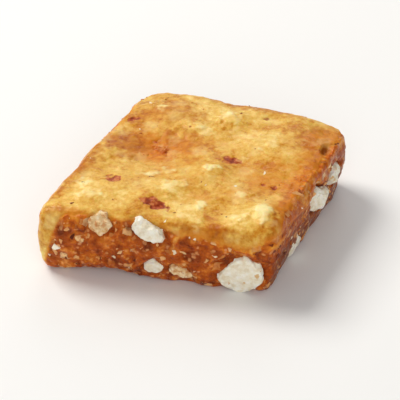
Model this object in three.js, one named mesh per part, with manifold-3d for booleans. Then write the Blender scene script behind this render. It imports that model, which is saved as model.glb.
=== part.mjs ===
// One square of nut brittle: a bite of boiled sugar and butter, poured as a slab over chopped
// nuts and cut with a knife, so its four sides go through the nuts that lie in the candy.
//
// Millimetres, +Z up. X runs along the front of the piece and Y from its front to its back.
// The piece lies on its poured base, and the origin is the middle of that base's bounding box.
//
// The candy is one solid. Each nut that a cut or the top lays bare is a solid of its own, in a
// pocket that fits it. Most are trimmed flush with the candy's surface. On the right the candy
// tore instead, and two nuts stand out of it.

import * as THREE from "three";
import { mergeVertices } from "three/addons/utils/BufferGeometryUtils.js";
import Module from "manifold-3d";

const wasm = await Module();
wasm.setup();

// ---------------------------------------------------------------- driving dimensions

const THICKNESS = 12.3; // of the slab, away from its lumps and hollows
const PIECE_WIDTH = 42.6; // across its widest part, left to right
const PIECE_DEPTH = 40.6; // the same, front to back
const GAP = 0.3; // between a nut and the wall of its pocket

// Where neighbouring cuts cross, as shares of half the width and half the depth. No two cuts
// are parallel. `round` is how far from the corner its rounding starts.
const CORNERS = [
  { x: -1.0, y: -0.97, round: 3.4 }, // front left
  { x: 0.818, y: -0.722, round: 1.8 }, // front right
  { x: 1.0, y: 0.98, round: 5.2 }, // back right
  { x: -0.735, y: 1.0, round: 4.0 }, // back left
];

// The four sides by the way that each faces: the radius of the edge between it and the poured
// top, and how far its foot stands in from its top, because the cuts aren't plumb.
const SIDES = [
  { faces: [0, -1], shoulder: 2.4, undercut: 1.0 }, // front
  { faces: [1, 0], shoulder: 1.7, undercut: 1.3 }, // right
  { faces: [0, 1], shoulder: 2.2, undercut: 0.5 }, // back
  { faces: [-1, 0], shoulder: 2.3, undercut: 0.4 }, // left
];
const BASE_CHAMFER = 0.5; // of the edge round the base
const SIDE_WAVE = 0.3; // how far a cut strays from its plane
const SIDE_BELLY = 0.35; // how far a cut bulges at half height

// The front edge of the base arches up off the table over part of its length.
const ARCH = { x: -10.0, y: -18, rise: 1.6, reach: 5.2 };

// Lumps where nuts push the poured top up, and hollows where it sagged, as soft mounds.
const MOUNDS = [
  { x: 1.8, y: 14.0, rise: 0.7, reach: 3.4 },
  { x: -3.6, y: 9.8, rise: 0.5, reach: 2.2 },
  { x: 2.6, y: -1.6, rise: 0.5, reach: 2.6 },
  { x: -1.8, y: -7.8, rise: 0.5, reach: 3.2 },
  { x: 14.2, y: -9.8, rise: 0.8, reach: 2.6 },
  { x: 10.6, y: 7.2, rise: 0.5, reach: 3.6 },
  { x: -13.6, y: -12.6, rise: 0.45, reach: 4.2 },
  { x: 7.2, y: -9.0, rise: -0.4, reach: 3.2 },
  { x: -9.0, y: 2.6, rise: -0.95, reach: 6.0 },
  { x: -9.4, y: 13.6, rise: 0.45, reach: 3.4 },
  { x: 5.4, y: 3.4, rise: -0.3, reach: 2.4 },
  { x: 20.8, y: 19.0, rise: -1.3, reach: 5.6 },
  { x: -20.8, y: -19.2, rise: -0.7, reach: 5.0 },
  { x: -15.6, y: 19.6, rise: -1.4, reach: 5.5 },
];

// The nuts that show. `at` is the middle of the chunk, `size` its length, breadth and height
// before it is trimmed, `turn` its turn about Z and `tilt` its turn about the way it faces,
// in degrees. `seed` makes each chunk's lumps its own. A `whole` one isn't trimmed.
const NUTS = [
  { name: "nut_front_corner", at: [11.7, -14.4, 4.0], size: [8.0, 5.8, 9.0], turn: 8, tilt: 62, seed: 19 },
  { name: "nut_front_chip", at: [-2.3, -16.3, 10.2], size: [8.2, 4.6, 3.1], turn: 8, tilt: 22, seed: 2 },
  { name: "nut_front_left", at: [-10.4, -17.6, 10.7], size: [4.6, 4.2, 4.4], turn: 8, tilt: 30, seed: 3 },
  { name: "nut_front_low", at: [-1.9, -15.0, 3.6], size: [4.2, 3.6, 3.5], turn: 8, tilt: 30, seed: 4 },
  { name: "nut_front_foot", at: [2.0, -14.6, 3.0], size: [5.2, 4.0, 3.2], turn: 8, tilt: 18, seed: 14 },
  { name: "nut_right_front", at: [16.9, -2.6, 2.2], size: [4.0, 5.0, 3.4], turn: -6, tilt: 0, seed: 5 },
  {
    name: "nut_right_middle", at: [18.0, 4.6, 6.8], size: [5.0, 5.6, 5.4], turn: -6, tilt: 8, seed: 6,
    whole: true,
  },
  {
    name: "nut_right_back", at: [18.5, 12.4, 6.7], size: [4.8, 4.6, 4.6], turn: 4, tilt: 8, seed: 7,
    whole: true,
  },
  { name: "nut_back_right", at: [11.0, 18.2, 5.2], size: [8.2, 5.0, 6.2], turn: -2, tilt: 12, seed: 8 },
  { name: "nut_back_middle", at: [1.0, 18.6, 4.2], size: [5.2, 4.6, 4.2], turn: -2, tilt: -20, seed: 9 },
  { name: "nut_back_left", at: [-8.4, 18.8, 6.6], size: [6.8, 4.8, 5.6], turn: -2, tilt: 25, seed: 10 },
  { name: "nut_left_back", at: [-16.0, 11.4, 4.0], size: [4.8, 5.8, 4.2], turn: -8, tilt: 0, seed: 11 },
  { name: "nut_left_middle", at: [-17.4, 0.6, 6.4], size: [5.2, 8.2, 6.0], turn: -8, tilt: 0, seed: 12 },
  { name: "nut_left_front", at: [-19.2, -10.6, 4.0], size: [4.6, 4.8, 4.8], turn: -8, tilt: 0, seed: 13 },
];

// How finely the candy is faceted.
const PERIMETER_STEPS = 84;
const BASE_RINGS = 3;
const SIDE_RINGS = 5;
const SHOULDER_RINGS = 3;
const TOP_RINGS = 11;
const NUT_DETAIL = 2;
const FLATS_PER_NUT = 9;

const CANDY_LOOK = { color: 0xd08a3c, roughness: 0.45, metalness: 0 };
const NUT_LOOK = { color: 0xe4d9bf, roughness: 0.8, metalness: 0 };

// ---------------------------------------------------------------- helpers

// A closed three.js geometry as a manifold-3d solid, for joining and cutting.
function solidOf(geometry) {
  const bare = geometry.clone().deleteAttribute("normal").deleteAttribute("uv");
  const merged = mergeVertices(bare, 1e-4);
  return new wasm.Manifold(
    new wasm.Mesh({
      numProp: 3,
      vertProperties: merged.attributes.position.array,
      triVerts: new Uint32Array(merged.index.array),
    }),
  );
}

// A manifold-3d solid as a three.js geometry.
function geometryOf(solid) {
  const mesh = solid.getMesh();
  const geometry = new THREE.BufferGeometry();
  geometry.setAttribute("position", new THREE.BufferAttribute(mesh.vertProperties, mesh.numProp));
  geometry.setIndex(new THREE.BufferAttribute(mesh.triVerts, 1));
  return geometry;
}

// ---------------------------------------------------------------- the candy's outline

function cornerPoints() {
  return CORNERS.map(({ x, y, round }) => ({
    point: new THREE.Vector2((x * PIECE_WIDTH) / 2, (y * PIECE_DEPTH) / 2),
    round,
  }));
}

// Four straight cuts with rounded corners, counter-clockwise from above.
function cutOutline() {
  const corners = cornerPoints();
  const outline = new THREE.Shape();
  corners.forEach(({ point, round }, i) => {
    const before = corners.at(i - 1).point;
    const after = corners[(i + 1) % corners.length].point;
    const start = point.clone().add(before.clone().sub(point).setLength(round));
    const end = point.clone().add(after.clone().sub(point).setLength(round));
    if (i === 0) outline.moveTo(start.x, start.y);
    else outline.lineTo(start.x, start.y);
    outline.quadraticCurveTo(point.x, point.y, end.x, end.y);
  });
  outline.closePath();
  return outline;
}

// Evenly spaced places round the outline, each with the way that the side faces there.
function perimeter() {
  const points = cutOutline().getSpacedPoints(PERIMETER_STEPS).slice(0, PERIMETER_STEPS);
  return points.map((point, i) => {
    const along = points[(i + 1) % PERIMETER_STEPS].clone().sub(points.at(i - 1)).normalize();
    return { point, outward: new THREE.Vector2(along.y, -along.x), share: i / PERIMETER_STEPS };
  });
}

// ---------------------------------------------------------------- the candy's surface

// A mound's height over a place, falling off like a bell.
function bell(x, y, mound) {
  const distance = Math.hypot(x - mound.x, y - mound.y);
  return mound.rise * Math.exp(-((distance / mound.reach) ** 2));
}

// The poured top is a little wavy, with its lumps and hollows.
function topHeight(x, y) {
  const swell = 0.22 * Math.sin(x / 3.1 + 0.6) * Math.cos(y / 3.7 - 0.4);
  const ripple = 0.1 * Math.sin(x / 1.3 - y / 2.1);
  return MOUNDS.reduce((height, mound) => height + bell(x, y, mound), THICKNESS + swell + ripple);
}

// A measure of the sides, blended by how nearly each of them faces this way.
function blended(outward, measure) {
  let total = 0;
  let weights = 0;
  for (const side of SIDES) {
    const weight = Math.max(0, outward.dot(new THREE.Vector2(...side.faces))) ** 2;
    total += weight * side[measure];
    weights += weight;
  }
  return total / weights;
}

// How far a side stands outside its cutting plane, at a share of its height.
function sideOffset(outward, share, up) {
  const turn = 2 * Math.PI * share;
  const wave =
    Math.sin(5 * turn + 3 * up) + 0.6 * Math.sin(11 * turn - 4 * up + 1) + 0.4 * Math.sin(19 * turn + 2);
  const belly = SIDE_BELLY * (Math.sin(Math.PI * up) - 1);
  return belly + (SIDE_WAVE * wave) / 2 - blended(outward, "undercut") * (1 - up);
}

// One upright section through the candy, from the middle of its base to the middle of its top.
function section({ point, outward, share }) {
  const radius = blended(outward, "shoulder");
  const moved = (distance) => point.clone().addScaledVector(outward, distance);
  const places = [];
  const foot = moved(sideOffset(outward, share, 0) - BASE_CHAMFER);
  for (let i = 1; i <= BASE_RINGS; i++) {
    const { x, y } = foot.clone().multiplyScalar(i / BASE_RINGS);
    places.push(new THREE.Vector3(x, y, i === BASE_RINGS ? bell(x, y, ARCH) : 0));
  }
  const rim = moved(-radius);
  const low = bell(foot.x, foot.y, ARCH) + BASE_CHAMFER;
  const high = topHeight(rim.x, rim.y);
  for (let i = 0; i < SIDE_RINGS; i++) {
    const up = i / SIDE_RINGS;
    const { x, y } = moved(sideOffset(outward, share, up));
    places.push(new THREE.Vector3(x, y, THREE.MathUtils.lerp(low, high - radius, up)));
  }
  for (let i = 0; i <= SHOULDER_RINGS; i++) {
    const angle = ((Math.PI / 2) * i) / SHOULDER_RINGS;
    const inward = radius * (1 - Math.cos(angle));
    const { x, y } = moved(sideOffset(outward, share, 1) * Math.cos(angle) - inward);
    places.push(new THREE.Vector3(x, y, high - radius * (1 - Math.sin(angle))));
  }
  for (let i = 1; i < TOP_RINGS; i++) {
    const { x, y } = rim.clone().multiplyScalar(1 - i / TOP_RINGS);
    places.push(new THREE.Vector3(x, y, topHeight(x, y)));
  }
  return places;
}

// The candy before its pockets: the sections joined side to side, closed at both middles.
function candyBody() {
  const sections = perimeter().map(section);
  const rings = sections[0].length;
  const positions = sections.flat().flatMap(({ x, y, z }) => [x, y, z]);
  const baseMiddle = positions.length / 3;
  const topMiddle = baseMiddle + 1;
  positions.push(0, 0, 0, 0, 0, topHeight(0, 0));
  const index = [];
  for (let j = 0; j < PERIMETER_STEPS; j++) {
    const here = j * rings;
    const next = ((j + 1) % PERIMETER_STEPS) * rings;
    index.push(baseMiddle, next, here);
    for (let k = 0; k < rings - 1; k++) {
      index.push(here + k, next + k, next + k + 1);
      index.push(here + k, next + k + 1, here + k + 1);
    }
    index.push(topMiddle, here + rings - 1, next + rings - 1);
  }
  const geometry = new THREE.BufferGeometry();
  geometry.setAttribute("position", new THREE.Float32BufferAttribute(positions, 3));
  geometry.setIndex(index);
  return solidOf(geometry);
}

// ---------------------------------------------------------------- the nuts

// Where a chopped nut broke: flats round a ball of radius 1, each by the way that it faces and
// how far out it lies. They spiral from pole to pole, and the seed turns and shifts them.
function breaks(seed) {
  return Array.from({ length: FLATS_PER_NUT }, (_, i) => {
    const up = (2 * i + 1) / FLATS_PER_NUT - 1;
    const turn = 2.4 * i + 1.7 * seed;
    const way = new THREE.Vector3(Math.cos(turn), up, Math.sin(turn)).normalize();
    return { way, reach: 0.78 + 0.13 * Math.sin(3.3 * i + 2.1 * seed) };
  });
}

// A chopped nut: a ball with flats and soft lumps, stretched to its size and put in its place.
function nutChunk({ at, size, turn, tilt, seed }, grow) {
  const ball = new THREE.IcosahedronGeometry(1, NUT_DETAIL);
  const place = ball.attributes.position;
  const flats = breaks(seed);
  const point = new THREE.Vector3();
  const half = new THREE.Vector3(...size).multiplyScalar(0.5).addScalar(grow);
  for (let i = 0; i < place.count; i++) {
    point.fromBufferAttribute(place, i);
    const lumps = 0.05 * Math.sin(4.3 * point.y + 5 * point.z + 1.7 * seed);
    const reaches = flats.map(({ way, reach }) => reach / Math.max(way.dot(point), 0.3));
    point.multiplyScalar(lumps + Math.min(1.08, ...reaches)).multiply(half);
    place.setXYZ(i, point.x, point.y, point.z);
  }
  const turns = new THREE.Euler(0, THREE.MathUtils.degToRad(tilt), THREE.MathUtils.degToRad(turn), "ZYX");
  ball.applyMatrix4(new THREE.Matrix4().makeRotationFromEuler(turns));
  ball.translate(...at);
  return solidOf(ball);
}

// ---------------------------------------------------------------- the piece

function namedMesh(name, solid, look) {
  const mesh = new THREE.Mesh(geometryOf(solid), new THREE.MeshStandardMaterial(look));
  mesh.name = name;
  return mesh;
}

const body = candyBody();
const piece = new THREE.Group();
let candy = body;
for (const nut of NUTS) {
  const chunk = nutChunk(nut, 0);
  piece.add(namedMesh(nut.name, nut.whole ? chunk : chunk.intersect(body), NUT_LOOK));
  candy = candy.subtract(nutChunk(nut, GAP));
}
piece.add(namedMesh("candy", candy, CANDY_LOOK));

// The origin goes to the middle of the base's bounding box.
const box = new THREE.Box3().setFromObject(piece);
const middle = box.getCenter(new THREE.Vector3());
piece.position.set(-middle.x, -middle.y, -box.min.z);

export default piece;
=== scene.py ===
# %% [markdown]
# # One square of nut brittle
#
# Nut brittle is boiled sugar and butter, poured over chopped nuts on a flat tray and cut into
# squares while it is still soft. So one piece has three kinds of surface. The top was poured:
# golden, satin and lumpy. The sides were cut and torn: deeper orange, rough, and full of nuts
# that the knife went through. The base is flat, because the tray was.
#
# The packed CAD model says where the candy and its larger nuts are. Here they get the form and
# the finish that they have on the real sweet. Everything is in metres, with Z up. X runs along
# the front of the piece and Y from its front to its back.

# %% Load the CAD frame
import math
import random

import bmesh
import bpy
from mathutils import Euler, Matrix, Vector, noise
from mathutils.bvhtree import BVHTree


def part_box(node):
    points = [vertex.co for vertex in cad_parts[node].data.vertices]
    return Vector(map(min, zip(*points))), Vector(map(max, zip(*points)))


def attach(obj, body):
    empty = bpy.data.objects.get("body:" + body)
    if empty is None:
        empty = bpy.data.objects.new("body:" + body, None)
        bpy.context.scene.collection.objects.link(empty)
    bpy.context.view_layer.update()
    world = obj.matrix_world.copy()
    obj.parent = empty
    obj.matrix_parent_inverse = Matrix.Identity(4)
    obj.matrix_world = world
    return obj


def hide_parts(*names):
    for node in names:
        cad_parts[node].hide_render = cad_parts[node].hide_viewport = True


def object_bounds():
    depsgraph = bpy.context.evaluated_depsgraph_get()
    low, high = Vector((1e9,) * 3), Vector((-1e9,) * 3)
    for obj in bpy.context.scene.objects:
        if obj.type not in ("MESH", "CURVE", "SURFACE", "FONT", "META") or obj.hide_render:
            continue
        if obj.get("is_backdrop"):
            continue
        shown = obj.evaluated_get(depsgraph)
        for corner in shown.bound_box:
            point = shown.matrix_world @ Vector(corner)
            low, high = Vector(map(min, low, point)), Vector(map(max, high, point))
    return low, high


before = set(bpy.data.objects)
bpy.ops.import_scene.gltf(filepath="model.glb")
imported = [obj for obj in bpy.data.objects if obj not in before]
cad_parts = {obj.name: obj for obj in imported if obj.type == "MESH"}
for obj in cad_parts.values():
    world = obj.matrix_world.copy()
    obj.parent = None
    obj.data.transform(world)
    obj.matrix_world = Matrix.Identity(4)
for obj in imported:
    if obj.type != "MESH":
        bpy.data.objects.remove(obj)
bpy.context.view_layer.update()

MM = 0.001

# %% [markdown]
# ## Working like a person at the screen
#
# An operator acts on whatever is selected. By hand we would click one object before each step,
# so these helpers do that clicking. They clear the selection, then pick and activate one
# object, and apply a modifier to it, bake its place into its mesh, or slice a part of it off.

# %% Helpers for picking and shaping
def pick(*objects):
    """Selects only these objects and makes the first one active."""
    bpy.ops.object.select_all(action="DESELECT")
    for obj in objects:
        obj.select_set(True)
    bpy.context.view_layer.objects.active = objects[0]


def apply_modifier(obj, kind, **settings):
    """Adds one modifier with these settings and applies it at once."""
    pick(obj)
    modifier = obj.modifiers.new(kind.title(), kind)
    for name, value in settings.items():
        setattr(modifier, name, value)
    bpy.ops.object.modifier_apply(modifier=modifier.name)


def new_piece(name):
    """Names the object that an operator has just made."""
    obj = bpy.context.object
    obj.name = obj.data.name = name
    return obj


def settle(obj):
    """Puts the object's place, turn and size into its mesh."""
    pick(obj)
    bpy.ops.object.transform_apply(location=True, rotation=True, scale=True)


def edit_whole(obj):
    """Goes into edit mode with the whole mesh selected."""
    pick(obj)
    bpy.ops.object.mode_set(mode="EDIT")
    bpy.ops.mesh.select_all(action="SELECT")


def slice_off(obj, place, way):
    """Takes off all that lies past a plane, on the side that it faces, and closes the cut."""
    edit_whole(obj)
    bpy.ops.mesh.bisect(plane_co=place, plane_no=way, use_fill=True, clear_outer=True,
                        threshold=0.001 * MM)
    bpy.ops.object.mode_set(mode="OBJECT")


# %% [markdown]
# ## The wrapping forms
#
# The CAD solids have the right size and place but large flat facets. Merged copies of them
# serve as forms, as a pastry cook lines a tin. Smooth meshes are wrapped round the forms, and
# the forms are thrown away at the end.

# %% Make the forms
def form_of(*nodes):
    """A merged copy of some CAD nodes, for other meshes to be wrapped round."""
    copies = []
    for node in nodes:
        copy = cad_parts[node].copy()
        copy.data = copy.data.copy()
        copy.parent = None
        bpy.context.scene.collection.objects.link(copy)
        copies.append(copy)
    pick(*copies)
    if len(copies) > 1:
        bpy.ops.object.join()
    form = new_piece("form_" + nodes[0])
    edit_whole(form)
    bpy.ops.mesh.remove_doubles(threshold=0.002 * MM)
    bpy.ops.object.mode_set(mode="OBJECT")
    return form


NUT_NODES = sorted(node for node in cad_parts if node.startswith("nut_"))
slab_form = form_of("candy", *NUT_NODES)
nut_forms = {node: form_of(node) for node in NUT_NODES}
print("nuts:", len(NUT_NODES), "form vertices:", len(slab_form.data.vertices))

# %% [markdown]
# The candy holds its nuts tight, where the CAD model leaves a hair's gap round each. The big
# nut at the front corner shows that most, so its form grows to fill its pocket. The candy laps
# over its upper left edge, so that edge is sliced off.

# %% Grow and slice the big corner nut's form
CORNER_NUT = "nut_front_corner"
LAPPED_AT = Vector((8.4, -15.5, 3.4)) * MM
edit_whole(nut_forms[CORNER_NUT])
bpy.ops.transform.resize(value=(1.08, 1, 1.06), center_override=sum(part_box(CORNER_NUT), Vector()) / 2)
bpy.ops.object.mode_set(mode="OBJECT")
slice_off(nut_forms[CORNER_NUT], LAPPED_AT, (-0.8, 0, 0.6))
print("corner nut's form, mm:", [round(v / MM, 1) for v in nut_forms[CORNER_NUT].dimensions])

# %% [markdown]
# ## The slab of candy
#
# By hand, a cut square starts as a block. Its corners are pushed to where the knife's cuts
# cross, because no two cuts are parallel. Three of the four corners go in, and the fourth stays.

# %% Push a block into the shape of the cut square
low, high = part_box("candy")
middle = (low + high) / 2
bpy.ops.object.select_all(action="DESELECT")
bpy.ops.mesh.primitive_cube_add(size=1, location=middle, scale=high - low)
slab = new_piece("brittle_candy")
settle(slab)

# How far each corner of the block goes in, as a share of the block's width and depth.
CORNER_PUSHES = {(1, -1): (-0.09, 0.13), (-1, 1): (0.13, 0.0), (-1, -1): (0.0, 0.01)}


def unselect(mesh):
    """Clears the selection inside a mesh."""
    for element in (*mesh.vertices, *mesh.edges, *mesh.polygons):
        element.select = False


for (side_x, side_y), (push_x, push_y) in CORNER_PUSHES.items():
    unselect(slab.data)
    for vertex in slab.data.vertices:
        offset = vertex.co - middle
        vertex.select = offset.x * side_x > 0 and offset.y * side_y > 0
    pick(slab)
    bpy.ops.object.mode_set(mode="EDIT")
    bpy.ops.mesh.select_mode(type="VERT")
    bpy.ops.transform.translate(value=(push_x * (high - low).x, push_y * (high - low).y, 0))
    bpy.ops.object.mode_set(mode="OBJECT")
top_corners = [v.co for v in slab.data.vertices if v.co.z > middle.z]
print("slab corners, mm:", [[round(c / MM, 1) for c in corner] for corner in top_corners])


# %% [markdown]
# Warm candy rounds off where the knife leaves it, so the upright edges and the top rim get a
# bevel each. The rim by the tray stays sharp. Edges are chosen by where their two ends are.

# %% Bevel the upright edges and the rim
def bevel_edges(obj, wanted, radius):
    """Rounds just the wanted edges; `wanted` gets an edge's two ends."""
    unselect(obj.data)
    for edge in obj.data.edges:
        edge.select = wanted(*(obj.data.vertices[i].co for i in edge.vertices))
    pick(obj)
    bpy.ops.object.mode_set(mode="EDIT")
    bpy.ops.mesh.select_mode(type="EDGE")
    bpy.ops.mesh.bevel(offset=radius, segments=4)
    bpy.ops.object.mode_set(mode="OBJECT")


bevel_edges(slab, lambda a, b: abs(a.z - b.z) > 5 * MM, 3 * MM)
bevel_edges(slab, lambda a, b: min(a.z, b.z) > high.z - 0.1 * MM, 2.2 * MM)
print("bevelled block:", len(slab.data.polygons), "faces")

# %% [markdown]
# The block now needs thousands of small even faces, because the torn texture comes from moving
# them. Subdividing would make long faces at the bevels, so a voxel remesh is used, which makes
# them all alike. Shrinkwrap lays them on the form, and Smooth takes the form's facets away.

# %% Wrap the block round the form
FACE_SIZE = 0.27 * MM  # fine enough for the torn texture of the cuts
apply_modifier(slab, "REMESH", mode="VOXEL", voxel_size=FACE_SIZE)
apply_modifier(slab, "SHRINKWRAP", target=slab_form, wrap_method="NEAREST_SURFACEPOINT")
apply_modifier(slab, "SMOOTH", factor=0.5, iterations=14)
print("slab:", len(slab.data.vertices), "vertices")

# %% [markdown]
# ## Measuring the slab
#
# Brittle differs from place to place: skin or cut, near a nut or not. So the slab's surface is
# measured first, and every later step reads these measures. Vertex groups hand them to the
# modifiers, and attributes hand them to the finish.

# %% Measure how near each place is to a nut
def smooth_step(value, start, end):
    """0 before start, 1 after end and an easy slope between them."""
    share = min(1.0, max(0.0, (value - start) / (end - start)))
    return share * share * (3 - 2 * share)


def surface_tree(*objects):
    """A search tree over the faces of some meshes, in the part's frame."""
    mesh = bmesh.new()
    for obj in objects:
        mesh.from_mesh(obj.data)
    tree = BVHTree.FromBMesh(mesh)
    mesh.free()
    return tree


nut_tree = surface_tree(*nut_forms.values())
smooth_places = [v.co / MM for v in slab.data.vertices]
smooth_normals = [v.normal.copy() for v in slab.data.vertices]
nut_distance = [nut_tree.find_nearest(p * MM)[3] / MM for p in smooth_places]
print("slab vertices within 1 mm of a nut:", sum(d < 1 for d in nut_distance))

# %% [markdown]
# The knife pulls the golden skin down over the cut in some places and leaves the cut bare in
# others. A list says how far it hangs at points round the slab, and the reach between them is
# blended by nearness. Noise frays the skin's edge, so it never runs straight.

# %% Measure how deep in the cut each place is
# Each row: X and Y in mm, how far the skin hangs down there, and how far round it that holds.
# Less than 0 means that the cut begins a little way in on the top.
SKIN_HANGS = [
    (-20.6, -19.0, 20.0, 2.7), (-15.5, -19.0, 0.0, 3.4), (-9.0, -18.5, 0.5, 4), (-2.0, -17.5, 1.0, 4),
    (5.0, -16.5, 2.1, 4), (12.5, -15.5, 3.4, 4), (17.6, -14.6, 1.2, 2), (19.0, -5.0, -1.0, 4.4),
    (20.0, 4.0, -1.1, 4.4), (20.6, 12.0, -0.6, 4.4), (19.5, 18.5, 0.8, 4), (10.0, 19.0, 1.6, 5),
    (0.0, 19.0, 0.7, 5), (-9.0, 19.5, 2.2, 5), (-15.5, 18.5, 7.0, 2.6),
    (-17.0, 9.0, 0.5, 6), (-18.5, -2.0, 1.5, 6), (-19.6, -11.0, 2.6, 6),
]
HOLD = 0.15  # draws the reach to 0 where no point is near
TOP_EDGE = 12.4  # the height of the poured top at its rim, in mm


def skin_reach(place):
    """How far the golden skin reaches down the side here, in mm."""
    shares = [math.exp(-((place.x - x) ** 2 + (place.y - y) ** 2) / spread**2)
              for x, y, _, spread in SKIN_HANGS]
    reach = sum(share * hang[2] for share, hang in zip(shares, SKIN_HANGS)) / (sum(shares) + HOLD)
    wobble = 0.8 * noise.noise(place * 0.3) + 0.5 * noise.noise(place * 1.1)
    return reach + wobble + 0.3 * noise.noise(place * 2.7)


def depth_in_cut(place, normal):
    """How far below the skin's edge a place on a cut side is, in mm; below 0 on the skin."""
    return TOP_EDGE - place.z - skin_reach(place) - 3 * max(0.0, normal.z - 0.55)


cut_depth = [depth_in_cut(p, n) for p, n in zip(smooth_places, smooth_normals)]
cut = [smooth_step(depth, -0.3, 0.5) for depth in cut_depth]
topside = [smooth_step(n.z, 0.1, 0.75) for n in smooth_normals]
print("cut:", round(100 * sum(cut) / len(cut)), "% and top:", round(100 * sum(topside) / len(topside)), "%")

# %% [markdown]
# ## Lumps, tears and knife marks
#
# Sculpting the surface by hand would use brushes. Displace modifiers do the same with noise:
# each pushes the surface in and out along its normals, and a vertex group says where. The
# poured top gets a broad soft swell. The front and back cuts are torn and grainy, and on the
# left and right the knife dragged the candy into level ridges. The base gets nothing, because
# it lies flat. Near a nut the candy is calmer and sinks a little in places, since it shrinks
# back from the nut as it cools.

# %% Weigh where the slab is poured, torn, dragged and shrunk
def weigh(obj, name, weights):
    """A vertex group with one weight for each vertex."""
    group = obj.vertex_groups.new(name=name)
    for index, weight in enumerate(weights):
        if weight > 0:
            group.add([index], min(1.0, weight), "REPLACE")


dragged = [share * smooth_step(abs(n.x), 0.5, 0.85) for share, n in zip(cut, smooth_normals)]
off_base = [smooth_step(p.z, 0.15, 1.0) for p in smooth_places]
clear = [0.4 + 0.6 * smooth_step(d, 0.1, 1.2) for d in nut_distance]
shrink = [(1 - smooth_step(d, 0.1, 0.7)) * off * smooth_step(noise.noise(p * 0.45), -0.1, 0.5)
          for d, off, p in zip(nut_distance, off_base, smooth_places)]
weigh(slab, "poured", [max(up, off * (1 - share)) * far
                       for up, off, share, far in zip(topside, off_base, cut, clear)])
weigh(slab, "torn", [share * off * far * (1 - 0.55 * drag)
                     for share, off, far, drag in zip(cut, off_base, clear, dragged)])
weigh(slab, "dragged", [share * off * far for share, off, far in zip(dragged, off_base, clear)])
weigh(slab, "shrunk", shrink)
print("dragged:", round(100 * sum(dragged) / len(dragged)), "% of the slab")


# %% [markdown]
# The slab was wrapped round its nuts as well, so a thin skin of candy lies over each. A Boolean
# would cut a hole with a hard edge. Instead the candy steps back wherever a nut is just behind
# it, by a weight that fades out, and its edge stays soft round the nut.

# %% Weigh where a nut lies behind the surface
NUT_IS_NEAR, PROBE_DEPTH = 0.3, 0.8  # mm


def behind_surface(place, normal, distance):
    """How surely a nut lies just behind this place of the slab, from 0 to 1."""
    if distance >= NUT_IS_NEAR:
        return 0.0
    deeper = place - normal * PROBE_DEPTH
    nearest, facing, _, depth = nut_tree.find_nearest(deeper * MM)
    inside = (deeper * MM - nearest).dot(facing) < 0
    return smooth_step(depth / MM, 0.15, 0.6) if inside else 0.0


under_nut = [behind_surface(*measures) for measures in zip(smooth_places, smooth_normals, nut_distance)]
weigh(slab, "under_nut", under_nut)
print("slab vertices in front of a nut:", sum(w > 0.5 for w in under_nut))

# %% [markdown]
# Some marks on the top have their own places. Nuts just under the skin lift it into pale
# lumps with rather flat tops. Scraps of nut skin lie in small hollows, each stained darker by
# the skin. Where the candy is thick it is a deeper orange; at the left rim, the back left and
# the band across the left middle that orange is also painted shadow, cast by a piece lying
# beside this one. All are ovals, warped by noise so that no outline is regular.

# %% Place the marks of the top
# Middle, length and breadth in mm, turn in degrees, and strength from 0 to 1.
PALE_LUMPS = [
    (1.3, 12.9, 5.2, 3.8, 10, 0.9), (-2.6, 9.8, 2.6, 2.2, 30, 0.9), (2.5, -1.1, 3.6, 1.9, 20, 1.0),
    (-1.5, -6.4, 6.0, 2.6, 15, 0.8), (13.9, -9.9, 3.6, 4.4, 20, 1.0), (11.0, -11.9, 3.2, 2.2, 10, 0.8),
    (3.7, -10.1, 3.2, 2.6, 0, 0.7), (-5.2, -3.6, 7.5, 2.2, 35, 0.6), (1.9, -13.8, 3.4, 1.6, 0, 0.6),
    (-15.6, -10.6, 5.0, 3.0, 50, 0.5), (-13.0, -13.6, 5.6, 2.6, 15, 0.6), (9.8, 7.4, 4.6, 3.0, 40, 0.4),
    (-11.0, 13.6, 4.4, 3.0, -30, 0.6), (9.6, -5.6, 4.0, 2.0, 30, 0.4),
]
SKIN_STAINS = [
    (-11.2, -8.3, 2.4, 3.4, 25, 1.0), (-3.1, -12.3, 5.8, 2.4, -4, 1.0), (4.7, 2.6, 4.2, 2.4, 5, 0.85),
    (13.5, -2.1, 1.6, 1.2, 0, 0.9), (11.7, -1.9, 1.3, 0.9, 0, 0.7), (11.3, 3.0, 3.4, 2.6, 30, 0.45),
    (-14.0, 9.0, 2.6, 1.6, 50, 0.8), (7.2, 15.2, 2.2, 1.4, 0, 0.6), (-8.6, 4.6, 1.2, 0.9, 0, 0.6),
]
# Thick candy is a deeper orange. The patches at the left rim, the back left and across the left middle are
# also painted shadow of a piece lying beside this one.
# A strength above 1 makes the patch fuller, up to its edge.
THICK_AND_SHADED_PATCHES = [
    (-9.4, 3.2, 19.0, 9.0, 16, 1.2), (17.9, 0.0, 30.0, 4.0, 84, 1.8), (16.5, 13.0, 12.0, 7.0, 60, 0.8),
    (-16.0, -17.8, 9.0, 2.4, 0, 0.8), (6.0, -15.6, 14.0, 2.4, 8, 0.9), (4.0, 18.0, 26.0, 3.6, 0, 0.8),
    (11.6, 3.2, 6.0, 4.0, 30, 0.3), (-17.6, -6.0, 20.0, 5.0, 78, 0.9), (-9.0, 12.0, 16.0, 10.0, 0, 0.7),
]
print("lumps, stains and thick patches:", len(PALE_LUMPS), len(SKIN_STAINS), len(THICK_AND_SHADED_PATCHES))


# %% Weigh the marks
def oval(place, spot, warp):
    """How strongly a spot covers a place: its strength in the middle, 0 past its warped edge."""
    x, y, length, breadth, turn, strength = spot
    away = Vector((place.x - x, place.y - y, 0))
    if away.length > max(length, breadth):
        return 0.0
    away.rotate(Euler((0, 0, -math.radians(turn))))
    span = math.hypot(away.x / (length / 2), away.y / (breadth / 2))
    span += warp * noise.noise(place * 0.9) + 0.5 * warp * noise.noise(place * 2.3)
    return strength * (1 - smooth_step(span, 0.3, 1.3))


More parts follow.
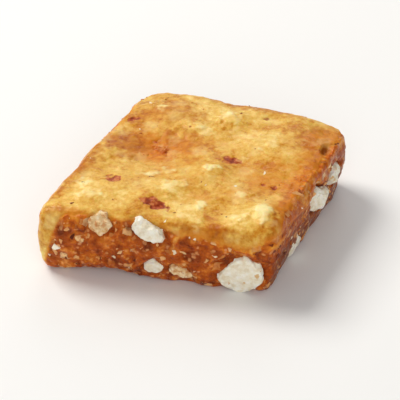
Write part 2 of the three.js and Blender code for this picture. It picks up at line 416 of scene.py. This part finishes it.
lump = [up and max(oval(p, spot, 0.6) for spot in PALE_LUMPS) for p, up in zip(smooth_places, topside)]
stain = [up and max(oval(p, spot, 0.7) for spot in SKIN_STAINS) for p, up in zip(smooth_places, topside)]
# Thick candy and painted shadow of a neighbouring piece, in one weight.
thick = [max(oval(p, spot, 0.5) for spot in THICK_AND_SHADED_PATCHES) for p in smooth_places]
weigh(slab, "lumps", lump)
weigh(slab, "hollows", stain)
lumpy, upward = sum(share > 0.3 for share in lump), sum(up > 0.5 for up in topside)
print("lumps cover", round(100 * lumpy / upward), "% of the top")


# %% [markdown]
# A Displace modifier moves each vertex by a procedural texture. The helpers below take sizes
# and depths in millimetres, so that they can be read off a ruler held to a real piece.

# %% Helpers for displacing
def noise_texture(name, kind, size, **settings):
    """A procedural texture for a Displace modifier, with its features about `size` mm across."""
    texture = bpy.data.textures.new(name, kind)
    texture.noise_scale = size * MM
    for key, value in settings.items():
        setattr(texture, key, value)
    return texture


def displace(obj, texture, depth, group="", **settings):
    """Pushes the surface in and out by up to half of `depth` mm."""
    apply_modifier(obj, "DISPLACE", texture=texture, strength=depth * MM, mid_level=0.5,
                   vertex_group=group, **({"texture_coords": "LOCAL"} | settings))


def shift(obj, depth, group=""):
    """Pushes the surface out by `depth` mm, or in where it is less than 0."""
    apply_modifier(obj, "DISPLACE", strength=depth * MM, mid_level=0, vertex_group=group)


# %% [markdown]
# Broad swells come first and the finest grit last, because each modifier pushes along the
# normals that the one before it left. Cloud noise makes soft lumps, and Voronoi cells make
# angular crags. The ridges read their noise through an empty that is stretched the way the
# knife went, so they come out long and level.

# %% Displace the slab
bpy.ops.object.empty_add()
knife = bpy.context.object
knife.scale = (5, 5, 1)  # noise read through it is drawn out along the slab, as the knife drags

displace(slab, noise_texture("swell", "CLOUDS", 7.0, noise_depth=1), 0.5, "poured")
displace(slab, noise_texture("dimples", "CLOUDS", 2.2, noise_depth=2), 0.24, "poured")
shift(slab, 0.22, "lumps")
shift(slab, -0.22, "hollows")
displace(slab, noise_texture("tears", "CLOUDS", 3.4, noise_depth=2), 0.9, "torn")
displace(slab, noise_texture("ridges", "CLOUDS", 1.6, noise_depth=1), 0.8, "dragged",
         texture_coords="OBJECT", texture_coords_object=knife)
displace(slab, noise_texture("crags", "VORONOI", 1.4), 0.4, "torn")
displace(slab, noise_texture("grit", "CLOUDS", 0.8, noise_depth=1), 0.3, "torn")
displace(slab, noise_texture("pebbles", "CLOUDS", 1.1, noise_depth=1), 0.08, "poured")
shift(slab, -0.5, "shrunk")
shift(slab, -0.45, "under_nut")
bpy.data.objects.remove(knife)
print("highest place of the slab, mm:", round(max(v.co.z for v in slab.data.vertices) / MM, 2))

# %% [markdown]
# Boiling sugar holds steam. One bubble burst as the candy set and left a small pit near the
# rim. It is longer than it is wide. A sphere cut out by a Boolean would have a knife-sharp rim,
# so the pit is pushed in by a weight too.

# %% Burst a bubble at the back right of the top
BUBBLE_AT, BUBBLE_SIZE = (18.6, 10.4), (2.1, 3.8)  # along X and Y, in mm
from_bubble = [2 * math.hypot((p.x - BUBBLE_AT[0]) / BUBBLE_SIZE[0], (p.y - BUBBLE_AT[1]) / BUBBLE_SIZE[1])
               for p in smooth_places]
pit = [up and (1 - smooth_step(span, 0.2, 1.1)) for span, up in zip(from_bubble, topside)]
weigh(slab, "pit", pit)
shift(slab, -1.0, "pit")

relief = [(v.co / MM - was).dot(n) for v, was, n in zip(slab.data.vertices, smooth_places, smooth_normals)]
print("relief, mm:", round(min(relief), 2), "to", round(max(relief), 2))

# %% [markdown]
# The finish needs the same measures to colour each place: how raised it is, how cut, how deep
# in the cut, and so on. Each becomes an attribute, one number for each vertex of the slab.

# %% Note the measures for the finish
def note(obj, name, values):
    """Stores one number for each vertex, for a material to read."""
    attribute = obj.data.attributes.new(name, "FLOAT", "POINT")
    attribute.data.foreach_set("value", values)


# Painted shade: how close a place is to a nut, so that the candy can be darkened in the crevice round it.
shaded_beside_nut = [1 - smooth_step(d, 0.1, 0.8) for d in nut_distance]
NOTES = {"relief": relief, "cut": cut, "cut_depth": cut_depth, "streaky": dragged, "lump": lump,
         "stain": stain, "thick": thick, "in_bubble": pit, "shaded_beside_nut": shaded_beside_nut}
for name, values in NOTES.items():
    note(slab, name, values)
print("noted:", ", ".join(NOTES))

# %% [markdown]
# ## The nuts in the cuts
#
# The knife sliced the nuts as it went through the slab, so each shows a flat chalky face,
# flush with the side. A ball is put where the nut is and wrapped round the nut's form, which
# gives it the flat face. Noise then roughens it, least on the sliced face, where the vertex
# group "broken" is weakest. It stands out of the candy by less than a tenth of a millimetre.
# The toasted ones are mealy, so noise also eats small round hollows into them.

# %% Wrap a ball round each nut's form
TOASTED = ("nut_front_left", "nut_front_foot", "nut_left_back", "nut_back_middle")
SIDE_WAYS = {"front": (0, -1, 0), "right": (1, 0, 0), "back": (0, 1, 0), "left": (-1, 0, 0)}
BIG_NUT = 7 * MM
chunk_noise = noise_texture("chunk", "CLOUDS", 2.1, noise_depth=1)
crumbly_noise = noise_texture("crumbly", "VORONOI", 0.9)
grain_noise = noise_texture("grain", "CLOUDS", 0.5, noise_depth=2)


def nut_piece(node):
    """A roughened nut where the frame has one, flatter where the knife went through it."""
    low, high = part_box(node)
    size = high - low
    bpy.ops.object.select_all(action="DESELECT")
    detail = 6 if max(size) > 5 * MM else 5
    bpy.ops.mesh.primitive_ico_sphere_add(subdivisions=detail, radius=0.5, location=(low + high) / 2,
                                          scale=size)
    nut = new_piece("chopped_" + node)
    settle(nut)
    apply_modifier(nut, "SHRINKWRAP", target=nut_forms[node], wrap_method="NEAREST_SURFACEPOINT")
    apply_modifier(nut, "SMOOTH", factor=0.5, iterations=1)
    side_way = Vector(SIDE_WAYS[node.split("_")[1]])
    sliced = [smooth_step(v.normal.dot(side_way), 0.7, 0.9) for v in nut.data.vertices]
    weigh(nut, "broken", [1 - 0.75 * share for share in sliced])
    shift(nut, 0.05)
    displace(nut, chunk_noise, 0.7 if max(size) > BIG_NUT else 0.5, "broken")
    if node in TOASTED:
        displace(nut, crumbly_noise, -0.45)
    else:
        displace(nut, crumbly_noise, 0.3, "broken")
    displace(nut, grain_noise, 0.16)
    if low.z < 0.5 * MM:  # this nut lies on the tray, so it is flat below
        slice_off(nut, Vector((0, 0, 0.02)) * MM, (0, 0, -1))
    return nut


nuts = [nut_piece(node) for node in NUT_NODES]
print("nut faces:", sum(len(nut.data.polygons) for nut in nuts))

# %% [markdown]
# Candy soaks into a nut where the nut enters the slab, so the finish needs to know how far each
# place of a nut stands out of the candy. The nearest face of the slab tells it.

# %% Note how far each nut stands out of the candy
slab_tree = surface_tree(slab)


def height_over_slab(place):
    """How far a place stands out of the candy, in mm; less than 0 inside it."""
    nearest, normal, _, distance = slab_tree.find_nearest(place)
    return math.copysign(distance, (place - nearest).dot(normal)) / MM


for nut in nuts:
    note(nut, "proud", [height_over_slab(v.co) for v in nut.data.vertices])
print("noted how proud", len(nuts), "nuts stand")

# %% [markdown]
# ## Crumbs and scraps of skin
#
# Chopping nuts makes crumbs, and the cuts show them all over: white ones, toasted ones and
# red-brown scraps of skin. One crumb is a small ball with three or four slices off it, like a
# real one that broke along flat faces. It has only a few dozen faces, because it is repeated
# hundreds of times.

# %% Chop one crumb of each shape
def chopped_crumb(name, slices):
    """A ball 1 mm across with slices off it, each slice by the way it faces and its distance."""
    bpy.ops.object.select_all(action="DESELECT")
    bpy.ops.mesh.primitive_ico_sphere_add(subdivisions=2, radius=0.5 * MM)
    crumb = new_piece(name)
    for way, reach in slices:
        way = Vector(way).normalized()
        slice_off(crumb, way * reach * MM, way)
    return crumb


crumb_shapes = [
    chopped_crumb("crumb_flat", [((0, 0, 1), 0.16), ((1, 0.3, 0.4), 0.2), ((-0.4, 1, 0.2), 0.24),
                                 ((-1, -0.7, 0.1), 0.3)]),
    chopped_crumb("crumb_wedge", [((0.6, 0, 1), 0.15), ((-1, 0.2, 0.5), 0.2), ((0.2, -1, 0), 0.26)]),
    chopped_crumb("crumb_block", [((0.1, 0.2, 1), 0.22), ((1, -0.5, 0), 0.26), ((-0.7, -1, 0.3), 0.22),
                                  ((-0.5, 1, 0), 0.3)]),
]
print("crumb faces:", [len(shape.data.polygons) for shape in crumb_shapes])

# %% [markdown]
# The thin red-brown skin of a nut comes off in scraps that curl as they dry. One scrap is a
# little grid, curled by noise and given a thickness by Solidify, so that it has no open edge.

# %% Curl one scrap of skin
def skin_flake():
    """A thin curled scrap, 1 mm long."""
    bpy.ops.object.select_all(action="DESELECT")
    bpy.ops.mesh.primitive_grid_add(x_subdivisions=5, y_subdivisions=4, size=1 * MM)
    flake = new_piece("flake")
    flake.scale = (1, 0.6, 1)
    settle(flake)
    displace(flake, noise_texture("curl", "CLOUDS", 0.5, noise_depth=1), 0.3)
    displace(flake, noise_texture("ragged", "CLOUDS", 0.25, noise_depth=1), 0.3, direction="X")
    apply_modifier(flake, "SOLIDIFY", thickness=0.12 * MM, offset=0)
    return flake


flake_shapes = [skin_flake()]
print("scrap faces:", [len(shape.data.polygons) for shape in flake_shapes])

# %% [markdown]
# Each kind of crumb has its own places: most lie in the cuts, more of them gather beside the
# nuts that they broke off, and a few lie on the top. None lies low enough to reach the tray, and
# the white ones keep below the rim.

# %% Choose the faces that crumbs may lie on
LOWEST_CRUMB, BELOW_RIM = 1.6, 10.6  # mm above the tray
cut_faces, low_faces, top_faces, fringe_faces = [], [], [], []
for face in slab.data.polygons:
    first = face.vertices[0]
    if nut_distance[first] < 0.35 or smooth_places[first].z < LOWEST_CRUMB:
        continue
    if nut_distance[first] < 0.9 and cut[first] > 0.5:
        fringe_faces.append(face.index)
    if cut[first] > 0.7:
        cut_faces.append(face.index)
        if smooth_places[first].z < BELOW_RIM:
            low_faces.append(face.index)
    elif topside[first] > 0.9:
        top_faces.append(face.index)
print("faces for crumbs:", len(cut_faces), "in the cuts and", len(top_faces), "on the top")

# %% [markdown]
# One shape is copied to each place, with a turn and a size of its own, half sunk in the candy,
# and each kind is joined into one piece. Small crumbs are commoner than large ones, so the
# chance is raised to a power. The random places come from a fixed seed, so they never change.

# %% Scatter the crumbs
def scatter(name, shapes, places, tilt, seed):
    """Copies of the shapes at (faces, how many, smallest, largest, sunk share), as one piece."""
    chance = random.Random(seed)
    copies = []
    for faces, count, smallest, largest, sunk in places:
        for _ in range(count):
            face = slab.data.polygons[chance.choice(faces)]
            size = smallest * (largest / smallest) ** (chance.random() ** 1.8)
            turn = face.normal.to_track_quat("Z", "Y").to_matrix().to_4x4()
            turn @= Matrix.Rotation(chance.uniform(0, math.tau), 4, "Z")
            length, breadth = size * chance.uniform(0.8, 1.7), size * chance.uniform(0.5, 1)
            stretch = Matrix.Diagonal((length, breadth, size * 0.8, 1))
            turn @= Euler([chance.uniform(-tilt, tilt) for _ in "xyz"]).to_matrix().to_4x4()
            middle = face.center + face.normal * size * (0.4 - sunk) * MM
            shape = chance.choice(shapes)
            copy = shape.copy()
            copy.data = shape.data.copy()
            copy.data.transform(Matrix.Translation(middle) @ turn @ stretch)
            bpy.context.scene.collection.objects.link(copy)
            note(copy, "shade", [chance.random()] * len(copy.data.vertices))
            copies.append(copy)
    pick(*copies)
    bpy.ops.object.join()
    return new_piece(name)


white_crumbs = scatter("white_nut_crumbs", crumb_shapes,
                       [(low_faces, 56, 0.6, 2.2, 0.5), (top_faces, 8, 0.4, 0.9, 0.5)], 0.3, seed=12)
toasted_crumbs = scatter("toasted_nut_crumbs", crumb_shapes,
                         [(cut_faces, 330, 0.4, 1.7, 0.48), (fringe_faces, 90, 0.5, 1.5, 0.44),
                          (top_faces, 40, 0.3, 0.8, 0.48)], 0.35, seed=23)
skin_scraps = scatter("nut_skin_scraps", flake_shapes,
                      [(cut_faces, 60, 0.6, 1.4, 0.44), (top_faces, 9, 0.5, 1.0, 0.46)], 0.15, seed=5)
for shape in crumb_shapes + flake_shapes:
    bpy.data.objects.remove(shape)
print("crumb faces:", [len(piece.data.polygons) for piece in (white_crumbs, toasted_crumbs, skin_scraps)])

# %% [markdown]
# ## Finishes
#
# A finish is a recipe of nodes. Real candy isn't one colour: it has golden and orange clouds
# where it took in more or less air, it is deeper where it was cut, and it lets light in a
# little way. The recipes below read a place in millimetres, so that each noise's size is the
# size of the real mottling. In the Shader Editor we would drag these nodes in one by one. Here
# a small class adds and links them, so that a recipe reads almost like a sentence.

# %% A helper for writing recipes
def screen_colour(colour):
    """A colour as it looks on a screen, 0 to 255, turned into the light that Blender mixes."""
    light = [c / 255 / 12.92 if c <= 10 else ((c / 255 + 0.055) / 1.055) ** 2.4 for c in colour]
    return (*light, 1.0)


class Recipe:
    """One material's nodes. `add` makes a node, sets its fields and links or fills its sockets."""

    def __init__(self, name):
        self.material = bpy.data.materials.new(name)
        self.material.use_nodes = True
        self.tree = self.material.node_tree
        self.tree.nodes.clear()
        here = self.add("TexCoord")["Object"]
        self.place = self.add("Mapping", {"Vector": here, "Scale": (1 / MM,) * 3})["Vector"]

    def add(self, kind, sockets=None, **fields):
        node = self.tree.nodes.new("ShaderNode" + kind)
        for name, value in fields.items():
            setattr(node, name, value)
        for name, value in (sockets or {}).items():
            self.fill(node.inputs[name], value)
        return node.outputs

    def fill(self, socket, value):
        """Links another node's output to a socket, or sets the socket's own value."""
        if isinstance(value, bpy.types.NodeSocket):
            self.tree.links.new(value, socket)
        else:
            socket.default_value = value

    def measure(self, name):
        """A number that the piece's vertices carry."""
        return self.add("Attribute", attribute_name=name)["Fac"]

    def finish(self, sockets):
        shader = self.add("BsdfPrincipled", sockets)["BSDF"]
        self.add("OutputMaterial", {"Surface": shader})
        print("finish:", self.material.name, "with", len(self.tree.nodes), "nodes")
        return self.material


# %% [markdown]
# Patterns come from noise and from Voronoi cells. Cells on their own look like a honeycomb, so
# they read a place that noise has pushed about. Chopped bits are cells by the Manhattan
# distance, which makes angular ones, and only a share of the cells holds a bit.

# %% Patterns for recipes
class Patterned(Recipe):
    """A recipe that can also make noise, spots and chopped bits."""

    def noise(self, size, detail=2.0, distortion=0.0, place=None, roughness=0.5):
        """Cloudy noise from 0 to 1, with features about `size` mm across."""
        return self.add("TexNoise", {"Vector": place or self.place, "Scale": 1 / size, "Detail": detail,
                                     "Distortion": distortion, "Roughness": roughness})["Fac"]

    def warped(self, size, reach):
        """A place that noise pushes about by up to half of `reach` mm, so cells get ragged."""
        push = self.add("TexNoise", {"Vector": self.place, "Scale": 1 / size, "Detail": 2.0})["Color"]
        pushed = self.add("VectorMath", {0: push, 1: (reach,) * 3, 2: self.place}, operation="MULTIPLY_ADD")
        return pushed["Vector"]

    def spots(self, size, place):
        """Distance from the middle of the nearest cell, from 0, with cells about `size` mm across."""
        return self.add("TexVoronoi", {"Vector": place, "Scale": 1 / size})["Distance"]

    def bits(self, size, share, softness=0.08):
        """Where chopped bits lie in this share of cells `size` mm across, and a shade for each bit."""
        place = self.add("Mapping", {"Vector": self.warped(1.1, 0.9), "Rotation": (0.5, 0.7, 0.3)})["Vector"]
        cells = self.add("TexVoronoi", {"Vector": place, "Scale": 1 / size}, distance="MANHATTAN")
        chances = self.add("SeparateColor", {"Color": cells["Color"]})
        here = self.math("LESS_THAN", chances["Red"], share)
        inside = self.slope(cells["Distance"], 0.42 + softness, 0.42)
        return self.math("MULTIPLY", here, inside), chances["Green"]

    def math(self, operation, a, b):
        return self.add("Math", {0: a, 1: b}, operation=operation)["Value"]

    def mixed(self, *parts):
        """A sum of values, each times its own number."""
        total = 0.0
        for value, times in parts:
            total = self.add("Math", {0: value, 1: times, 2: total}, operation="MULTIPLY_ADD")["Value"]
        return total

    def slope(self, value, low, high, to_low=0.0, to_high=1.0):
        """Turns a range of values into another, and holds it at the ends."""
        return self.add("MapRange", {"Value": value, "From Min": low, "From Max": high, "To Min": to_low,
                                     "To Max": to_high}, interpolation_type="SMOOTHSTEP")["Result"]

    def ramp(self, value, stops):
        """Colours along a value: [(where, colour), ...], each colour as 0 to 255 on a screen."""
        node = self.tree.nodes.new("ShaderNodeValToRGB")
        self.fill(node.inputs["Fac"], value)
        elements = node.color_ramp.elements
        while len(elements) < len(stops):
            elements.new(0.5)
        for element, (where, colour) in zip(elements, stops):
            element.position = where
            element.color = screen_colour(colour)
        return node.outputs["Color"]

    def blend(self, share, first, second):
        """The first colour where share is 0 and the second where it is 1."""
        node = self.tree.nodes.new("ShaderNodeMix")
        node.data_type = "RGBA"
        self.fill(node.inputs[0], share)
        for socket, colour in ((node.inputs[6], first), (node.inputs[7], second)):
            self.fill(socket, screen_colour(colour) if isinstance(colour, tuple) else colour)
        return node.outputs[2]

    def bump(self, height, depth):
        """Fine relief that is too small to model, `depth` mm high."""
        return self.add("Bump", {"Height": height, "Distance": depth * MM, "Strength": 1.0})["Normal"]


print("patterns:", ", ".join(name for name in vars(Patterned) if not name.startswith("_")))

# %% [markdown]
# ### The candy
#
# One recipe covers the whole slab, since the skin and the cut are the same candy and fade into
# each other. Five noises are its grain: broad clouds, mottling, fine mottling, grains and, for
# the sides where the knife dragged, streaks that run level.

# %% The noises that the candy is mottled with
candy = Patterned("caramel_candy")
level = candy.add("Mapping", {"Vector": candy.place, "Scale": (0.16, 0.16, 1.0)})["Vector"]
clouds = candy.noise(7.5, detail=3, distortion=0.8)
mottle = candy.noise(2.2, detail=3, distortion=0.6)
fine = candy.noise(0.9, detail=3)
grain = candy.noise(0.34, detail=2, roughness=0.6)
streaks = candy.noise(1.1, detail=3, place=level)
marks = {name: candy.measure(name) for name in NOTES}
print("the candy reads:", ", ".join(marks))

# %% [markdown]
# The poured skin is golden. It is amber where the candy is thick, and the same amber is painted
# shade where a piece lying beside this one casts its shadow. It is orange along its own edge,
# painted darker inside the bubble pit as shade, pale over a lump of nut and red-brown round a
# scrap of nut skin. Each of these is laid over the last one, as a share that fades out through
# the mottling, so that no patch has a clean outline.

# %% Colour the poured skin
AMBER = [(0.38, (160, 72, 3)), (0.5, (182, 96, 10)), (0.62, (204, 128, 30))]
GOLD = [(0.27, (184, 104, 18)), (0.315, (204, 138, 40)), (0.355, (220, 167, 70)), (0.40, (232, 189, 95)),
        (0.46, (248, 217, 140))]
PALE_GOLD = [(0.4, (236, 196, 106)), (0.6, (250, 232, 168))]
SKIN_RED = [(0.36, (132, 42, 18)), (0.5, (172, 74, 34)), (0.6, (206, 124, 70))]

amber = candy.ramp(candy.mixed((mottle, 0.6), (fine, 0.4)), AMBER)
pale = candy.ramp(mottle, PALE_GOLD)
skin = candy.ramp(candy.mixed((clouds, 0.28), (mottle, 0.16), (fine, 0.18), (grain, 0.12),
                              (marks["relief"], 0.08), (marks["thick"], -0.04)), GOLD)
# Amber for thick candy, and painted shadow where a neighbouring piece shades the top.
is_thick = candy.slope(candy.mixed((marks["thick"], 1.0), (mottle, 0.8)), 0.5, 1.8, 0, 0.9)
skin = candy.blend(is_thick, skin, amber)
# Painted shade: the bubble pit is darkened.
skin = candy.blend(candy.slope(marks["in_bubble"], 0.15, 0.7, 0, 0.9), skin, (136, 60, 8))
at_edge = candy.slope(candy.mixed((marks["cut_depth"], 1.0), (mottle, 2.0)), -0.7, 1.3, 0, 0.8)
skin = candy.blend(at_edge, skin, (216, 132, 32))
on_lump = candy.slope(candy.mixed((marks["lump"], 1.0), (mottle, 0.9)), 0.62, 1.25, 0, 0.85)
skin = candy.blend(on_lump, skin, pale)
is_stained = candy.slope(candy.mixed((marks["stain"], 1.0), (fine, 0.6)), 0.6, 0.95)
skin = candy.blend(is_stained, skin, candy.ramp(fine, SKIN_RED))
sunken_bits, _ = candy.bits(3.6, 0.5, softness=0.3)
skin = candy.blend(candy.math("MULTIPLY", sunken_bits, 0.22), skin, pale)

# %% [markdown]
# The cut shows the inside of the candy: orange just under the skin and red-brown further down.
# Painted shade darkens its pits, and the low part of the sides where the knife dragged. Small
# specks and angular bits of chopped nut lie in it, just under its surface. The larger ones are
# meshes, but there are far too many of the small ones to model.

# %% Colour the cut
SHALLOW = [(0.38, (160, 64, 4)), (0.48, (196, 94, 10)), (0.56, (218, 130, 30)), (0.66, (238, 178, 80))]
DEEP = [(0.36, (116, 40, 3)), (0.45, (154, 62, 5)), (0.53, (180, 82, 11)), (0.6, (208, 118, 36)),
        (0.68, (236, 172, 98))]
BIT_SHADES = [(0.2, (196, 112, 48)), (0.5, (222, 158, 96)), (0.8, (242, 208, 152))]

streaky, depth = marks["streaky"], marks["cut_depth"]
pulled = candy.blend(candy.math("MULTIPLY", streaky, 0.65), mottle, streaks)
torn_tone = candy.mixed((pulled, 0.62), (fine, 0.3), (grain, 0.08))
deepness = candy.slope(candy.mixed((depth, 1.0), (clouds, 4.0), (streaky, -1.6)), 2.2, 4.2)
torn = candy.blend(deepness, candy.ramp(torn_tone, SHALLOW), candy.ramp(torn_tone, DEEP))
# Painted shade: the low part of the dragged sides is darkened.
low_drag_shade = candy.math("MULTIPLY", streaky, candy.slope(depth, 3, 9, 0, 0.5))
torn = candy.blend(low_drag_shade, torn, (84, 32, 8))
# Painted shade: the pits of the cut, where the relief dips, are darkened.
torn = candy.blend(candy.slope(marks["relief"], -0.05, -0.6, 0, 0.55), torn, (92, 30, 2))
speck = candy.spots(1.25, candy.warped(0.9, 0.5))
in_speck = candy.slope(candy.mixed((speck, 1.0), (mottle, 0.6)), 0.58, 0.42, 0, 0.7)
torn = candy.blend(in_speck, torn, (222, 156, 100))
bits, bit_shade = candy.bits(2.4, 0.34)
bit_share = candy.math("MULTIPLY", bits, candy.slope(fine, 0.35, 0.6, 0.35, 0.85))
torn = candy.blend(bit_share, torn, candy.ramp(bit_shade, BIT_SHADES))

# %% [markdown]
# Skin and cut meet where the cut begins. Against a nut the candy is painted a darker brown,
# a painted shade for the crevice round the nut. It shines like satin: light goes a little way
# in, and its gloss has a warm tint, because it is seen through a film of caramel. The bump is
# half as deep on the skin as in the cut.

# %% Finish the candy
colour = candy.blend(marks["cut"], skin, torn)
# Painted crevice shade against the nuts.
colour = candy.blend(candy.math("MULTIPLY", marks["shaded_beside_nut"], 0.3), colour, (130, 56, 14))
roughened = candy.mixed((fine, 0.7), (grain, 0.2), (bits, 0.3))
roughened = candy.math("MULTIPLY", roughened, candy.slope(marks["cut"], 0, 1, 0.5, 1))
candy_finish = candy.finish({
    "Base Color": colour,
    "Roughness": candy.slope(mottle, 0.35, 0.65, 0.27, 0.42),
    "Subsurface Weight": 0.45,
    "Subsurface Radius": (1.0, 0.5, 0.2),
    "Subsurface Scale": 0.8 * MM,
    "Specular IOR Level": 0.28,
    "Specular Tint": screen_colour((255, 226, 178)),
    "Normal": candy.bump(roughened, 0.26),
})

# %% [markdown]
# ### The nuts
#
# Nut flesh is chalky: pale, rough and without gloss. Candy soaks into it where it meets the
# slab and, in a toasted nut, between its mealy grains. Both kinds share one recipe, with their
# own shades and their own share of soaked grains.

# %% The nuts' recipe
def nut_recipe(name, shades, soak, mealy):
    """Chalky nut flesh, soaked with candy where it meets the slab and between its grains."""
    nut = Patterned(name)
    mottle = nut.noise(1.0, detail=4)
    grain = nut.noise(0.22, detail=4, roughness=0.65)
    flesh = nut.ramp(mottle, list(zip((0.34, 0.5, 0.66), shades)))
    flesh = nut.blend(nut.slope(grain, 0.58, 0.75, 0, 0.45), flesh, soak)
    gaps = nut.noise(0.7, detail=3, roughness=0.65, distortion=0.5)
    flesh = nut.blend(nut.slope(gaps, 0.5, 0.6, 0, mealy), flesh, soak)
    above = nut.mixed((nut.measure("proud"), 1.0), (grain, 0.2), (mottle, 0.5))
    return nut.finish({
        "Base Color": nut.blend(nut.slope(above, 0.42, 0.24), flesh, soak),
        "Roughness": 0.72,
        "Subsurface Weight": 0.12,
        "Subsurface Radius": (1.0, 0.7, 0.4),
        "Subsurface Scale": 0.5 * MM,
        "Normal": nut.bump(grain, 0.1),
    })


chalky = nut_recipe("chalky_nut", [(232, 218, 188), (246, 238, 216), (252, 248, 236)], (222, 182, 124), 0.12)
toasted = nut_recipe("toasted_nut", [(206, 156, 94), (232, 196, 142), (248, 228, 188)], (196, 120, 52), 0.7)

# %% [markdown]
# Crumbs share a recipe as well. Each crumb carries a shade of its own, which moves it along a
# ramp from darker to paler, so that no two neighbours match. A little noise mottles each one.

# %% The crumbs' recipe
def crumb_recipe(name, shades, roughness):
    """Small bits whose shade differs from one to the next."""
    crumb = Patterned(name)
    grain = crumb.noise(0.3, detail=3)
    tone = crumb.mixed((crumb.measure("shade"), 0.7), (grain, 0.3))
    return crumb.finish({
        "Base Color": crumb.ramp(tone, shades),
        "Roughness": roughness,
        "Specular IOR Level": 0.3,
        "Specular Tint": screen_colour((255, 222, 180)),
        "Normal": crumb.bump(grain, 0.06),
    })


WHITE_SHADES = [(0.25, (226, 178, 126)), (0.5, (240, 216, 176)), (0.75, (250, 240, 218))]
BROWN_SHADES = [(0.25, (168, 84, 30)), (0.5, (200, 124, 60)), (0.75, (228, 172, 112))]
RED_SHADES = [(0.2, (92, 28, 10)), (0.5, (134, 52, 20)), (0.8, (172, 88, 42))]
white_finish = crumb_recipe("white_crumb", WHITE_SHADES, 0.6)
brown_finish = crumb_recipe("toasted_crumb", BROWN_SHADES, 0.4)
red_finish = crumb_recipe("nut_skin", RED_SHADES, 0.5)

# %% [markdown]
# Each piece gets one material. Which nuts are toasted was settled where the nuts were made.

# %% Put the finishes on
def wear(piece, finish):
    """Gives a piece its one material."""
    piece.data.materials.append(finish)


wear(slab, candy_finish)
wear(white_crumbs, white_finish)
wear(toasted_crumbs, brown_finish)
wear(skin_scraps, red_finish)
for nut, node in zip(nuts, NUT_NODES):
    wear(nut, toasted if node in TOASTED else chalky)
print("toasted nuts:", len(TOASTED), "of", len(nuts))

# %% [markdown]
# ## Floor, light and camera
#
# The piece lies on a pale floor under soft studio light. The key light stands at the left,
# high up, so that the top is bright and the front is a step darker. A large fill light opens
# the front and the right side, and a weak light at the back draws the far rim.

# %% Set the floor and the lights
bpy.ops.object.select_all(action="DESELECT")
bpy.ops.mesh.primitive_plane_add(size=3, location=(0, 0, 0))
floor = new_piece("floor")
settle(floor)
floor_finish = Recipe("pale_floor").finish({"Base Color": screen_colour((244, 243, 241)), "Roughness": 0.9})
wear(floor, floor_finish)
floor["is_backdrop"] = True

LIT_AT = Vector((0, 0, 6)) * MM


def aim(obj, target):
    """Turns a light or a camera to face a place."""
    obj.rotation_mode = "QUATERNION"
    obj.rotation_quaternion = (target - obj.location).to_track_quat("-Z", "Y")


def soft_light(name, direction, distance, size, power, colour=(1, 1, 1)):
    """A square studio light that faces the piece from a direction."""
    bpy.ops.object.light_add(type="AREA", location=Vector(direction).normalized() * distance)
    light = new_piece(name)
    light.data.size, light.data.energy, light.data.color = size, power, colour
    aim(light, LIT_AT)


soft_light("key_light", (-0.62, 0.22, 0.75), 0.8, 0.4, 5.3, (1.0, 0.98, 0.94))
soft_light("fill_light", (0.35, -0.8, 0.5), 1.0, 0.8, 3.8)
soft_light("back_light", (-0.25, 0.9, 0.62), 0.9, 0.4, 1.0)

world = bpy.data.worlds.new("studio")
bpy.context.scene.world = world
world.use_nodes = True
background = world.node_tree.nodes["Background"].inputs
background["Color"].default_value = (1, 1, 1, 1)
background["Strength"].default_value = 0.27
bpy.context.scene.view_settings.view_transform = "Standard"
print("lights:", [light.name for light in bpy.data.lights])

# %% [markdown]
# The camera looks down at the front and a little of the right side, from a short arm's length,
# with a long lens, so that the piece fills the view without looking stretched.

# %% Set the camera
AZIMUTH, ELEVATION = math.radians(18), math.radians(37)
CAMERA_DISTANCE = 0.37
look_at = Vector((0.6, -0.2, 5.2)) * MM
away = Vector((math.sin(AZIMUTH) * math.cos(ELEVATION), -math.cos(AZIMUTH) * math.cos(ELEVATION),
               math.sin(ELEVATION)))
bpy.ops.object.camera_add(location=look_at + away * CAMERA_DISTANCE)
camera = new_piece("camera")
camera.data.lens, camera.data.sensor_width = 206, 36
camera.data.clip_start, camera.data.clip_end = 0.01, 10
aim(camera, look_at)
bpy.context.scene.camera = camera
print("camera at, mm:", [round(v / MM) for v in camera.location])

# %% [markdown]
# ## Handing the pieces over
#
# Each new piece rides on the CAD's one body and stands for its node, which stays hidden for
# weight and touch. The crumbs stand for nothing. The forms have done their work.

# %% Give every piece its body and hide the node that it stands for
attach(slab, "root")
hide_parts("candy")
for nut, node in zip(nuts, NUT_NODES):
    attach(nut, "root")
    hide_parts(node)
for crumbs, slot in ((white_crumbs, "nut"), (toasted_crumbs, "nut"), (skin_scraps, "nut_skin")):
    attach(crumbs, "root")
for form in (slab_form, *nut_forms.values()):
    bpy.data.objects.remove(form)
print("pieces:", 1 + len(nuts) + 3)

# %% [markdown]
# Last, the box of all that shows is measured and printed. The noise may swell the
# piece by a few tenths of a millimetre, but no more, since the real size comes from the CAD.

# %% Measure and finish
low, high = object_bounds()
print("visual box, mm:", [round(v / MM, 2) for v in (*low, *high)])
